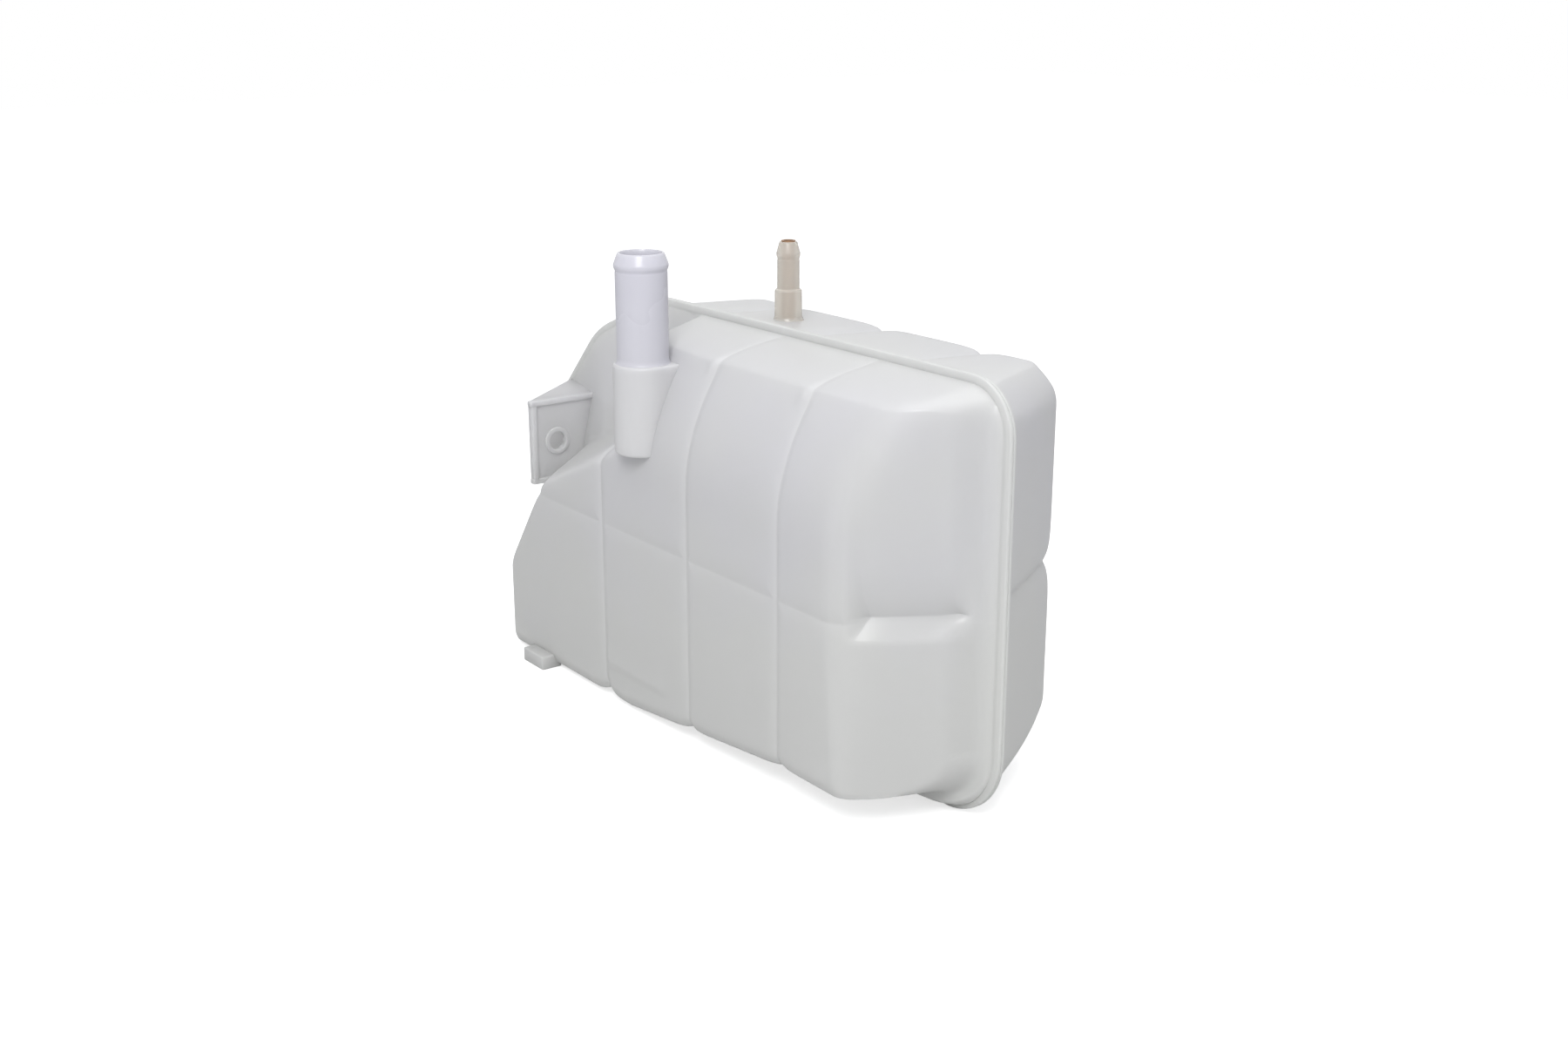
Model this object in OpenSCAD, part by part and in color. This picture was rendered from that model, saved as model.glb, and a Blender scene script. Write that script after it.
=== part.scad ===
// Coolant expansion tank: two moulded half shells, welded face to face along a flange that runs
// right round them. X runs along the tank, Y across the weld (front is -Y) and Z is up. The origin is
// on the floor, under the middle of the weld plane.

/* [Tank] */
// Length over the weld flange
tank_length = 297; // [285:1:320]
// Height of the weld flange above the floor
tank_height = 160; // [150:1:175]
// Depth of the front half, from the weld plane to its face
front_depth = 48; // [42:0.5:56]
// Depth of the rear half, from the weld plane to its back
rear_depth = 54; // [46:0.5:60]
// Wall thickness
wall = 2.5; // [2:0.1:3]

/* [Outline] */
// Radius of the right top corner of the flange
top_corner_r = 20; // [12:1:30]
// Radius of the two bottom corners of the flange
bottom_corner_r = 27; // [16:1:34]
// Slope of the lower part of the falling edge at the left, in degrees
fall_angle = 46; // [40:1:50]
// Slope of the upper part of the falling edge
brow_angle = 22; // [16:1:26]
// Height at which the falling edge meets the left end
fall_end_z = 103; // [98:1:112]
// Place along the tank where the falling edge leaves the top
crest_x = -61.5; // [-68:0.5:-50]

/* [Weld flange] */
// How far the flange stands out from the wall
flange_out = 3; // [2:0.25:4]
// How far the flange stands out from the wall along the bottom
bottom_out = 1.5; // [1:0.25:3]
// Thickness of each half of the flange
flange_t = 1.5; // [1:0.1:2.5]

/* [Form of the halves] */
// Distance from each end at which the front half's end facets reach the full depth
facet_run = 32; // [26:0.5:38]
// Distance from each end at which the rear half's end facets reach the full depth
rear_facet_run = 33; // [26:0.5:38]
// Height at which the face of the front half turns into its shoulder
fold_z = 122.5; // [116:0.5:128]
// Lean of the shoulder, measured from the face
shoulder_lean = 31; // [25:1:38]
// Drop of the front half's top over its depth, in millimetres for each millimetre
front_top_draft = 0.15; // [0.08:0.01:0.2]
// Drop of the rear half's top, in millimetres for each millimetre
rear_top_draft = 0.05; // [0.03:0.01:0.12]
// Place along the tank where the two left cuts meet on the face
cut_x = -86; // [-95:0.5:-75]
// Height at which the two left cuts meet on the face
cut_z = 82; // [76:0.5:86]
// Angle of the lower left cut across the face
lower_cut_angle = 54; // [45:1:62]
// Lean of the lower left cut
lower_cut_lean = 61; // [54:0.5:66]
// Angle of the upper left cut across the face
upper_cut_angle = 24; // [20:0.5:30]
// Lean of the upper left cut
upper_cut_lean = 66; // [58:0.5:70]
// Rise of the low ground behind the cuts, in millimetres for each millimetre from the falling edge
ground_slope = 0.33; // [0.25:0.01:0.4]
// Lowest rise of the front half's bottom edge
bottom_rise = 0.8; // [0.6:0.1:4]
// How much further the bottom edge has risen at the right end
bottom_gain = 13.8; // [4:0.2:16]
// Rise of the rear half's bottom edge at the right end
rear_bottom_rise = 22.5; // [14:0.5:28]

/* [Grooves] */
// Place along the tank of the left upright groove
groove_1_x = -37; // [-42:0.5:-32]
// Place along the tank of the middle upright groove
groove_2_x = 24; // [18:0.5:30]
// Place along the tank of the right upright groove
groove_3_x = 81; // [76:0.5:86]
// Height of the level groove in the front half
groove_z = 76.5; // [70:0.5:84]
// Height of the level groove in the rear half
rear_groove_z = 81; // [76:0.5:86]
// Half width of the front half's grooves
groove_w = 4; // [2.5:0.25:5]
// Depth of the front half's grooves
groove_d = 1.4; // [0.8:0.1:1.6]
// Half width of the rear half's grooves
rear_groove_w = 6.5; // [4:0.25:8]
// Depth of the rear half's grooves
rear_groove_d = 2.3; // [1:0.1:2.6]
// Thickness of the inner walls behind the upright grooves
baffle_t = 2; // [1.4:0.1:2.6]
// Diameter of the flow holes in the inner walls
flow_hole_d = 26; // [14:1:30]

/* [Hose nipple] */
// Place of the hose nipple along the tank
hose_x = -10; // [-14:0.5:4]
// Distance of the hose nipple from the weld plane
hose_y = 42.8; // [40:0.2:44]
// Outside diameter of the hose nipple
hose_d = 20; // [18:0.5:21]
// Bore of the hose nipple
hose_bore = 15.4; // [12:0.2:16]
// Diameter over the bead at the end of the hose nipple
hose_bead_d = 20.9; // [20.5:0.1:22.5]
// Height of the top of the hose nipple above the floor
hose_top = 188; // [178:1:196]
// Diameter of the boss that carries the hose nipple
boss_d = 23.4; // [22.5:0.1:26]
// Height of the flat top of the boss
boss_top = 146; // [143:0.5:149]
// Height of the underside of the boss
boss_bottom = 111; // [104:1:116]

/* [Vent nipple] */
// Place of the vent nipple along the tank
vent_x = -6; // [-14:0.5:4]
// Distance of the vent nipple from the weld plane
vent_y = 23.4; // [18:0.2:30]
// Outside diameter of the vent nipple
vent_d = 8.9; // [8.5:0.1:10]
// Diameter of the root of the vent nipple
vent_root_d = 10.8; // [10.2:0.1:13]
// Height of the step between the root and the nipple
vent_step_z = 168; // [164:0.5:172]
// Height of the top of the vent nipple
vent_top = 187; // [180:1:192]
// Diameter over the bead of the vent nipple
vent_bead_d = 9.5; // [9.2:0.1:11]
// Outside diameter of the metal tube in the vent nipple
tube_d = 5.6; // [4.6:0.1:6]
// Wall of the metal tube
tube_wall = 0.8; // [0.5:0.1:1]
// How far the tube stands out of the nipple
tube_proud = 0.4; // [0.2:0.1:1]

/* [Bracket and feet] */
// Place of the bracket plate along the tank
plate_x = -110; // [-114:0.5:-106]
// Distance of the bracket's free edge from the weld plane
plate_y = 38.5; // [34:0.5:42]
// Height of the bracket's lower edge
plate_bottom = 75; // [71:0.5:78]
// Height of the bracket's upper edge
plate_top = 112; // [106:0.5:113]
// Thickness of the bracket plate and its flanges
plate_t = 2.2; // [1.6:0.1:3]
// Distance of the screw hole from the weld plane
screw_y = 26.5; // [24:0.5:28]
// Height of the screw hole
screw_z = 93; // [90:0.5:96]
// Diameter of the screw hole in the bracket
screw_d = 8; // [6:0.5:9]
// Diameter of the raised ring round the screw hole
ring_d = 12; // [10.5:0.5:14]
// Place of the feet along the tank
foot_x = -88.5; // [-95:0.5:-80]
// Length of a foot
foot_l = 16.5; // [12:0.5:22]
// How far a foot stands out in front of the face
foot_out = 5.5; // [4:0.5:6]
// Height of a foot
foot_h = 6; // [5:0.5:9]

/* [Hidden] */
$fn = 48;
natural = [0.86, 0.87, 0.86];
brown = [0.45, 0.30, 0.20];

groove_xs = [groove_1_x, groove_2_x, groove_3_x];
half_l = tank_length / 2;
foot_of_wall = half_l - flange_out;
fold_x = half_l - facet_run;
// How far the wall's inner side stands in from its outer side, at the weld
rim_in = wall - 0.2;
// Radii of the bends in the falling edge, from its lower end up
knee_r = 12;
brow_r = 50;
crest_r = 30;
// The rear foot reaches as far from the weld as the boss does in front
rear_foot_out = hose_y + boss_d / 2 - rear_depth;
// Steepness of the walls round the raised face, in depth for each millimetre across
side_steep = (front_depth - flange_t) / (facet_run - flange_out);
rear_steep = (rear_depth - flange_t) / (rear_facet_run - flange_out);
rear_fold_x = half_l - rear_facet_run;
// Softness of the folds between the walls, and of the edges at the top and the bottom
fold_soft = 6;
edge_soft = 10;
// Radii of the bottom edges, and of the rear half's top edge
edge_r = 3;
rear_edge_r = 8;
// How much of the rear half's right top corner is cut away at 45 degrees
corner_cut = 11;

// Centres of the arcs in the outline: each is [x, z]
right_top = [half_l - top_corner_r, tank_height - top_corner_r];
right_low = [half_l - bottom_corner_r, bottom_corner_r];
left_low = [-right_low[0], bottom_corner_r];
function outward(a) = [-sin(a), cos(a)];
function bend(p, r, a, b) = p - r * (outward(a) + outward(b)) / (1 + outward(a) * outward(b));
fall_k = tan(fall_angle);
brow_k = tan(brow_angle);
brow_x = (tank_height - fall_end_z - brow_k * crest_x - fall_k * half_l) / (fall_k - brow_k);
brow_at = [brow_x, tank_height + (brow_x - crest_x) * brow_k];
knee = bend([-half_l, fall_end_z], knee_r, 90, fall_angle);
brow = bend(brow_at, brow_r, fall_angle, brow_angle);
crest = bend([crest_x, tank_height], crest_r, brow_angle, 0);

// A point of an arc over or under its centre: [height, then the two parts of the outward direction]
function on_arc(x, c, r, up) =
    let (dz = sqrt(max(0, r * r - (x - c[0]) * (x - c[0]))))
    [c[1] + up * dz, (x - c[0]) / r, up * dz / r];
// A point of the slope that leaves p at angle a, drawn in by o
function on_slope(x, p, a, o) = [p[1] + (x - p[0]) * tan(a) - o / cos(a), -sin(a), cos(a)];

// Upper edge of the outline at x, drawn in by o from the flange's edge
function crown(x, o) =
    x > right_top[0] ? on_arc(x, right_top, top_corner_r - o, 1) :
    x > crest[0] ? [tank_height - o, 0, 1] :
    x > crest[0] - (crest_r - o) * sin(brow_angle) ? on_arc(x, crest, crest_r - o, 1) :
    x > brow[0] - (brow_r - o) * sin(brow_angle) ? on_slope(x, [crest_x, tank_height], brow_angle, o) :
    x > brow[0] - (brow_r - o) * sin(fall_angle) ? on_arc(x, brow, brow_r - o, 1) :
    x > knee[0] - (knee_r - o) * sin(fall_angle) ? on_slope(x, [-half_l, fall_end_z], fall_angle, o) :
    on_arc(x, knee, knee_r - o, 1);

// Lower edge of the outline at x, drawn in by o from the flange's edge, and by less along the bottom
low_k = bottom_out / flange_out;
function on_low_arc(x, c, o) =
    let (n = (x - c[0]) / (bottom_corner_r - o), m = -sqrt(max(0, 1 - n * n)))
    [c[1] + (bottom_corner_r - o * low_k) * m, n, m * low_k];
function keel(x, o) =
    x > right_low[0] ? on_low_arc(x, right_low, o) :
    x < left_low[0] ? on_low_arc(x, left_low, o) :
    [o * low_k, 0, -low_k];

// Distance inside the wall's foot, from the upper edge and from the lower edge
function along(q, c, a) = (q - c) * [cos(a), sin(a)];
function crown_gap(x, z) =
    let (q = [x, z])
    x > right_top[0] && z > right_top[1] ? top_corner_r - flange_out - norm(q - right_top) :
    x < crest[0] && along(q, crest, brow_angle) > 0 ? crest_r - flange_out - norm(q - crest) :
    along(q, brow, brow_angle) < 0 && along(q, brow, fall_angle) > 0 ? brow_r - flange_out - norm(q - brow) :
    along(q, knee, fall_angle) < 0 && z > knee[1] ? knee_r - flange_out - norm(q - knee) :
    min(tank_height - z, half_l - x, outward(brow_angle) * ([crest_x, tank_height] - q),
        outward(fall_angle) * ([-half_l, fall_end_z] - q)) - flange_out;
function keel_gap(x, z) =
    let (r = bottom_corner_r - bottom_out, k = r / (bottom_corner_r - flange_out))
    z < bottom_corner_r && abs(x) > right_low[0] ?
        r - norm([(abs(x) - right_low[0]) * k, z - bottom_corner_r]) :
    min(z - bottom_out, foot_of_wall - abs(x));

// The smaller of two depths, with the fold between them rounded
function soft_min(a, b, k) = min(a, b) - pow(max(k - abs(a - b), 0), 2) / (4 * k);

// A wall that falls away by m for each millimetre past its fold, sunk by e below the outer surface
function falling(top, m, past, e) = top - m * past - e * sqrt(1 + m * m);

// Distance past a fold on the face that runs through p at an angle, on the side away from the middle
function past_fold(x, z, p, angle) = -(x - p[0]) * sin(angle) + (z - p[1]) * cos(angle);

// A wall rounded into the face beyond it: a slope of one in one that starts r from the edge
function eased(top, gap, r, e) = falling(top, 1, 0.586 * r - gap, e);

// Rise of the bottom edge from the weld to the face
function front_rise(x) = bottom_rise + bottom_gain * min(1, max(0, (x + 20) / (half_l - 6.5)));
function rear_rise(x) = 3 + (rear_bottom_rise - 3) * min(1, max(0, (x + 100) / 215));

// Depth of the front half at (x, z), sunk by e: the raised block, and the low ground at the left of it
function front_block(x, z, e) =
    let (d = front_depth, rise = front_rise(x), cut = [cut_x, cut_z])
    let (up = crown_gap(x, z), down = keel_gap(x, z))
    let (a = soft_min(d - e, falling(d, side_steep, abs(x) - fold_x, e), fold_soft))
    let (b = soft_min(a, falling(d, tan(shoulder_lean), z - fold_z, e), fold_soft))
    let (low = falling(d, tan(lower_cut_lean), past_fold(x, z, cut, lower_cut_angle), e))
    let (high = falling(d, tan(upper_cut_lean), past_fold(x, z, cut, upper_cut_angle), e))
    let (f = soft_min(soft_min(b, low, fold_soft), high, fold_soft))
    let (g = soft_min(f, eased(d, down - rise, edge_r, e), 4))
    let (t = soft_min(g, falling(flange_t, 1 / front_top_draft, -up, e), edge_soft))
    soft_min(t, falling(flange_t, (d - flange_t) / rise, -down, e), edge_soft);
function front_ground(x, z, e) =
    let (a = falling(flange_t, ground_slope, -crown_gap(x, z), e))
    let (b = soft_min(a, falling(front_depth, side_steep, abs(x) - fold_x, e), 3))
    soft_min(b, falling(flange_t, 3, -keel_gap(x, z), e), 3);
function front_form(x, z, e) = max(front_block(x, z, e), front_ground(x, z, e));

// Depth of the rear half at (x, z), sunk by e
function rear_form(x, z, e) =
    let (d = rear_depth, rise = rear_rise(x), up = crown_gap(x, z), down = keel_gap(x, z))
    let (a = soft_min(d - e, falling(d, rear_steep, abs(x) - rear_fold_x, e), fold_soft))
    let (b = soft_min(a, eased(d, up - rear_top_draft * d, rear_edge_r, e), 6))
    let (c = soft_min(b, falling(d, rear_corner_steep, corner_past(x, z), e), 12))
    let (g = soft_min(c, eased(d, down - rise, edge_r, e), 4))
    let (t = soft_min(g, falling(flange_t, 1 / rear_top_draft, -up, e), edge_soft))
    soft_min(t, falling(flange_t, (d - flange_t) / rise, -down, e), edge_soft);
// The rear half's right top corner is cut back at 45 degrees and rounded
rear_corner_steep = 2.5;
function corner_past(x, z) = (x - rear_fold_x + z - tank_height + flange_out + corner_cut) * sin(45);

function form(front, x, z, e) = front ? front_form(x, z, e) : rear_form(x, z, e);

// How deep the grooves are at (x, z)
function tent(d, w) = max(0, 1 - abs(d) / w);
function level_z(front) = front ? groove_z : rear_groove_z;
function half_w(front) = front ? groove_w : rear_groove_w;
function groove_at(front, x, z) =
    let (w = half_w(front), level = tent(z - level_z(front), w))
    (front ? groove_d : rear_groove_d) * max(concat([level], [for (g = groove_xs) tent(x - g, w)]));

// Stations along the tank: close at the ends and at the grooves, whose middles have even numbers
end_steps = [0, 0.8, 3, 7, 12, 17.4, 23.4, 27.4, 30.4, 34];
function between(a, b, n) = [for (i = [1:n]) a + (b - a) * i / (n + 1)];
function about(g, w) = [g - w, g, g + w];
function stations(front) =
    let (w = half_w(front))
    concat(
        [for (s = end_steps) s - foot_of_wall],
        between(34 - foot_of_wall, groove_1_x - w, 9), about(groove_1_x, w),
        between(groove_1_x + w, groove_2_x - w, 7), about(groove_2_x, w),
        between(groove_2_x + w, groove_3_x - w, 5), about(groove_3_x, w),
        between(groove_3_x + w, foot_of_wall - 34, 3),
        [for (i = [1:len(end_steps)]) foot_of_wall - end_steps[len(end_steps) - i]]);
// Rows from the bottom up: parts of the height below the level groove, and then above it
low_rows = [0, 0.015, 0.036, 0.07, 0.11, 0.16, 0.23, 0.34, 0.5, 0.68, 0.85, 1];
high_rows = [0, 0.12, 0.24, 0.36, 0.46, 0.55, 0.61, 0.68, 0.74,
             0.79, 0.84, 0.88, 0.91, 0.935, 0.958, 0.976, 0.99, 1];
nz = len(low_rows) + 1 + len(high_rows);

// Height of row j at x, between edges drawn in by o
function row_z(front, x, j, o) =
    let (z0 = keel(x, o)[0], z1 = crown(x, o)[0])
    let (under = level_z(front) - half_w(front), over = level_z(front) + half_w(front))
    j < len(low_rows) ? z0 + (under - z0) * low_rows[j] :
    j == len(low_rows) ? level_z(front) :
    over + (z1 - over) * high_rows[j - len(low_rows) - 1];

// The inner stations are the outer ones, drawn together near the ends
function inner_x(x) =
    let (keep = fold_x - 8)
    let (k = (foot_of_wall - rim_in - keep) / (foot_of_wall - keep))
    abs(x) < keep ? x : sign(x) * (keep + (abs(x) - keep) * k);

// Walks once round the edge of a grid: the place of its step number k
function edge_at(k, a, b) =
    k < a ? [k, 0] :
    k < a + b ? [a, k - a] :
    k < 2 * a + b ? [2 * a + b - k, b] :
    [0, 2 * a + 2 * b - k];
function on_edge(i, j, a, b) = i == 0 || j == 0 || i == a || j == b;

// Outward direction of the outline at a place on the grid's edge
function out_at(x, i, j, a) =
    let (c = j == 0 ? keel(x, flange_out) : crown(x, flange_out))
    i == 0 ? [-1, 0] : i == a ? [1, 0] : [c[1], c[2]];

// One moulded half, in the +Y direction: outer surface, flange, rim and inner surface, as one closed skin
module half_skin(front) {
    xs = stations(front);
    a = len(xs) - 1;
    b = nz - 1;
    loop = 2 * (a + b);
    outer = [for (i = [0:a]) for (j = [0:b])
        let (x = xs[i], z = row_z(front, x, j, flange_out))
        [x, on_edge(i, j, a, b) ? flange_t : max(flange_t, form(front, x, z, groove_at(front, x, z))), z]];
    rim = [for (k = [0:loop - 1])
        let (ij = edge_at(k, a, b), x = xs[ij[0]], n = out_at(x, ij[0], ij[1], a))
        [x + flange_out * n[0], row_z(front, x, ij[1], flange_out) + flange_out * n[1]]];
    inner = [for (i = [0:a / 2]) for (j = [0:b / 2])
        let (x = inner_x(xs[2 * i]), z = row_z(front, x, 2 * j, flange_out + rim_in))
        let (sunk = wall + 0.8 * groove_at(front, x, z))
        [x, on_edge(i, j, a / 2, b / 2) ? 0 : max(0.2, form(front, x, z, sunk)), z]];
    points = concat(outer, [for (p = rim) [p[0], flange_t, p[1]]], [for (p = rim) [p[0], 0, p[1]]], inner);
    flange_1 = (a + 1) * nz;
    flange_0 = flange_1 + loop;
    in_0 = flange_0 + loop;
    in_n = b / 2 + 1;
    skin = [for (i = [0:a - 1]) for (j = [0:b - 1])
        let (p = i * nz + j)
        each [[p, p + nz + 1, p + 1], [p, p + nz, p + nz + 1]]];
    flange = [for (k = [0:loop - 1])
        let (n = (k + 1) % loop, e0 = edge_at(k, a, b), e1 = edge_at(n, a, b))
        let (p = e0[0] * nz + e0[1], q = e1[0] * nz + e1[1])
        each [[p, flange_1 + n, q], [p, flange_1 + k, flange_1 + n],
              [flange_1 + k, flange_0 + n, flange_1 + n], [flange_1 + k, flange_0 + k, flange_0 + n]]];
    weld = [for (k = [0:loop / 2 - 1])
        let (e0 = edge_at(k, a / 2, b / 2), e1 = edge_at((k + 1) % (loop / 2), a / 2, b / 2))
        let (p = in_0 + e0[0] * in_n + e0[1], q = in_0 + e1[0] * in_n + e1[1])
        let (f0 = flange_0 + 2 * k, f1 = f0 + 1, f2 = flange_0 + (2 * k + 2) % loop)
        each [[f0, p, f1], [f1, p, q], [f1, q, f2]]];
    lining = [for (i = [0:a / 2 - 1]) for (j = [0:b / 2 - 1])
        let (p = in_0 + i * in_n + j)
        each [[p, p + 1, p + in_n + 1], [p, p + in_n + 1, p + in_n]]];
    polyhedron(points, concat(skin, flange, weld, lining), convexity = 8);
}

// An inner wall at x, let half way into the moulded wall and pierced so that coolant passes. The front
// half's upper hole is lower, clear of the cuts at the left
module baffle(front, x) {
    depth = front ? front_depth : rear_depth;
    edge = flange_out + rim_in / 2;
    sunk = wall / 2 + (front ? groove_d : rear_groove_d);
    side = [for (j = [0:nz - 1])
        let (z = row_z(front, x, j, edge))
        [max(0.5, form(front, x, z, sunk)), z]];
    translate([x - baffle_t / 2, 0, 0])
        rotate([90, 0, 90])
            linear_extrude(baffle_t)
                difference() {
                    polygon(concat([[0.3, side[0][1]]], side, [[0.3, side[nz - 1][1]]]));
                    for (z = front ? [0.24, 0.5] : [0.27, 0.68])
                        translate([0.45 * depth, z * tank_height]) circle(d = flow_hole_d);
                }
}

// A hose nipple that stands on z = 0, with a bead under its end
module nipple(d, bead_d, h) {
    r = d / 2;
    b = bead_d / 2;
    rotate_extrude()
        polygon([[0, 0], [r, 0], [r, h - 7.5], [r - 0.15, h - 6.8], [b - 0.1, h - 5.6], [b, h - 5],
                 [b, h - 4.4], [r - 1.1, h - 0.4], [r - 1.6, h], [0, h]]);
}

// The boss under the hose nipple: round in front and let into the shoulder behind
module hose_boss() {
    back = front_depth - (boss_top - fold_z) * tan(shoulder_lean) - wall / 2;
    intersection() {
        translate([0, 0, boss_bottom])
            linear_extrude(boss_top - boss_bottom)
                union() {
                    translate([hose_x, -hose_y]) circle(d = boss_d);
                    translate([hose_x - boss_d / 2, -hose_y]) square([boss_d, hose_y - back + 2]);
                }
        translate([hose_x - boss_d, 0, 0])
            rotate([90, 0, 90])
                linear_extrude(2 * boss_d)
                    polygon([[-front_depth + wall / 2, boss_bottom], [-hose_y - boss_d, boss_bottom],
                             [-hose_y - boss_d, boss_top + 1], [-back, boss_top + 1], [-back, boss_top],
                             [-front_depth + wall / 2, fold_z]]);
    }
}

// The bracket: an upright plate across the tank with a screw hole. A slanting web and two level gussets
// tie it to the falling edge behind
module bracket() {
    reach = 6;
    back_x = plate_x - 28.5;
    difference() {
        union() {
            translate([plate_x, -plate_y, plate_bottom])
                cube([plate_t, plate_y - reach, plate_top - plate_bottom]);
            for (z = [plate_bottom, plate_top - plate_t])
                translate([0, 0, z])
                    linear_extrude(plate_t)
                        polygon([[plate_x + plate_t, -plate_y], [plate_x + plate_t, -reach],
                                 [back_x + 3, -flange_t / 2], [back_x, -flange_t / 2], [plate_x, -plate_y]]);
            translate([0, 0, plate_bottom])
                linear_extrude(plate_top - plate_bottom)
                    polygon([[plate_x, -plate_y], [plate_x + plate_t, -plate_y],
                             [back_x + 3, -flange_t / 2], [back_x, -flange_t / 2]]);
            translate([plate_x, -screw_y, screw_z])
                rotate([0, 90, 0])
                    cylinder(d = ring_d, h = plate_t + 0.8);
        }
        translate([plate_x - 1, -screw_y, screw_z])
            rotate([0, 90, 0])
                cylinder(d = screw_d, h = plate_t + 3);
    }
}

// A foot under the left end, let into the bottom edge and standing out past the face
module foot(depth, out, h) {
    translate([foot_x - foot_l / 2, depth - 4, 0])
        cube([foot_l, out + 4, h]);
}

module front_shell() {
    color(natural)
        difference() {
            union() {
                mirror([0, 1, 0]) half_skin(true);
                for (g = groove_xs) mirror([0, 1, 0]) baffle(true, g);
                hose_boss();
                translate([hose_x, -hose_y, boss_top - 2])
                    nipple(hose_d, hose_bead_d, hose_top - boss_top + 2);
                bracket();
                mirror([0, 1, 0]) foot(front_depth, foot_out, foot_h);
            }
            translate([hose_x, -hose_y, boss_bottom + wall]) cylinder(d = hose_bore, h = hose_top);
        }
}

module rear_shell() {
    root_z = tank_height - flange_out - rear_top_draft * vent_y - wall;
    color(natural)
        difference() {
            union() {
                half_skin(false);
                for (g = groove_xs) baffle(false, g);
                translate([vent_x, vent_y, root_z]) cylinder(d = vent_root_d, h = vent_step_z - root_z);
                translate([vent_x, vent_y, vent_step_z - 1])
                    nipple(vent_d, vent_bead_d, vent_top - vent_step_z + 1);
                foot(rear_depth, rear_foot_out, bottom_out + rear_rise(foot_x) + 4);
            }
            translate([vent_x, vent_y, root_z - 5]) cylinder(d = tube_d, h = vent_top);
        }
}

module vent_tube() {
    z0 = tank_height - 14;
    color(brown)
        translate([vent_x, vent_y, z0])
            difference() {
                cylinder(d = tube_d, h = vent_top + tube_proud - z0);
                translate([0, 0, -1]) cylinder(d = tube_d - 2 * tube_wall, h = tank_height);
            }
}

front_shell();
rear_shell();
vent_tube();
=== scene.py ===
# %% [markdown]
# # A coolant expansion tank
# The real object is a plastic tank from an engine bay. Two moulded halves of milky, natural polypropylene
# are welded face to face. The front half carries a wide hose nipple on a boss, and a bracket at the left.
# The rear half carries a thin vent nipple with a brown metal tube in it.
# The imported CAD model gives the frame: every shape here is made in its place and at its size.

import math

import bpy
import numpy as np
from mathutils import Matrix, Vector


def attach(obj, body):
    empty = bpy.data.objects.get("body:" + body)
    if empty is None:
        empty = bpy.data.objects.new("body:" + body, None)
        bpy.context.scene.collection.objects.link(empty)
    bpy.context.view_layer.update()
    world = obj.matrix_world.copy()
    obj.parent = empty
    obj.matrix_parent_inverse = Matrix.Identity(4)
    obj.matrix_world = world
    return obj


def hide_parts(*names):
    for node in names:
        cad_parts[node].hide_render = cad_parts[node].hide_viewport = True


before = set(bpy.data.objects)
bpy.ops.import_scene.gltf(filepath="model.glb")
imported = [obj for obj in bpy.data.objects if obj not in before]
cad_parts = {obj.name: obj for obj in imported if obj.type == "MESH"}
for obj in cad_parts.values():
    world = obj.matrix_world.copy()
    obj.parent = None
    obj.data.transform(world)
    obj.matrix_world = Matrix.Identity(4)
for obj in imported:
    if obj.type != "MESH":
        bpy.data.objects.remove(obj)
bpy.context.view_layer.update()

# %% [markdown]
# ## Camera
# The photograph was taken with a lens of 40.7 mm on a 36 mm sensor, a little above the tank and from its
# right. Those numbers were solved from the straight edges of the weld and of the grooves, so the camera can
# be placed exactly instead of by eye. It comes first, because everything after it is judged through it.

# %% Place the camera
camera_data = bpy.data.cameras.new("photo_camera")
camera_data.sensor_width = 36.0
camera_data.lens = 40.7
camera_data.clip_start = 0.01
camera_data.clip_end = 20.0
camera = bpy.data.objects.new("photo_camera", camera_data)
bpy.context.scene.collection.objects.link(camera)
camera.location = (0.5545, -0.3976, 0.2839)
camera_turn = math.radians(53.23)
camera_tilt = math.radians(16.89)
camera.rotation_euler = (math.pi / 2 - camera_tilt, 0.0, camera_turn)
bpy.context.scene.camera = camera
print("camera at", tuple(camera.location), "lens", camera_data.lens)

# %% [markdown]
# ## Sizes
# In millimetres: x runs along the tank, z up, and depth is measured from the weld. They are the CAD model's
# sizes, so the fine surfaces follow the same outline and the same folds. Four forms go past the CAD model,
# because the photograph shows them: the upper cut ends under the boss, the right end has a deep ledge, the
# folds at the right are softer, and the underside there is nearly level.

# %% Sizes of the tank
MM = 0.001
tank_length, tank_height = 297.0, 160.0
front_depth, rear_depth = 48.0, 54.0
wall = 2.5
top_corner_r, bottom_corner_r = 20.0, 27.0
fall_angle, brow_angle, fall_end_z, crest_x = 46.0, 22.0, 103.0, -61.5
knee_r, brow_r, crest_r = 12.0, 50.0, 30.0
flange_out, bottom_out, flange_t = 3.0, 1.5, 1.5
facet_run, rear_facet_run = 32.0, 33.0
fold_z, shoulder_lean = 122.5, 31.0
front_top_draft, rear_top_draft = 0.15, 0.05
cut_x, cut_z = -86.0, 82.0
lower_cut_angle, lower_cut_lean = 54.0, 61.0
upper_cut_angle, upper_cut_lean = 24.0, 66.0
cut_end_x, cut_end_lean = -18.0, 74.0
ground_slope = 0.33
bottom_rise, bottom_gain, rise_from_x = 0.8, 13.8, -20.0
end_drop, end_drop_x, end_drop_run = 2.8, 84.0, 28.0
level_gain, level_x, level_run = 2.5, 80.0, 32.0
facet_soft, facet_soft_gain, shoulder_soft = 6.0, 9.0, 12.0
top_soft, top_soft_gain = 10.0, 8.0
ledge_d, ledge_z, ledge_h, ledge_fade, ledge_end_x = 4.3, 70.6, 8.0, 14.0, 134.0
knob_h, knob_r = 0.9, 2.8
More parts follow.
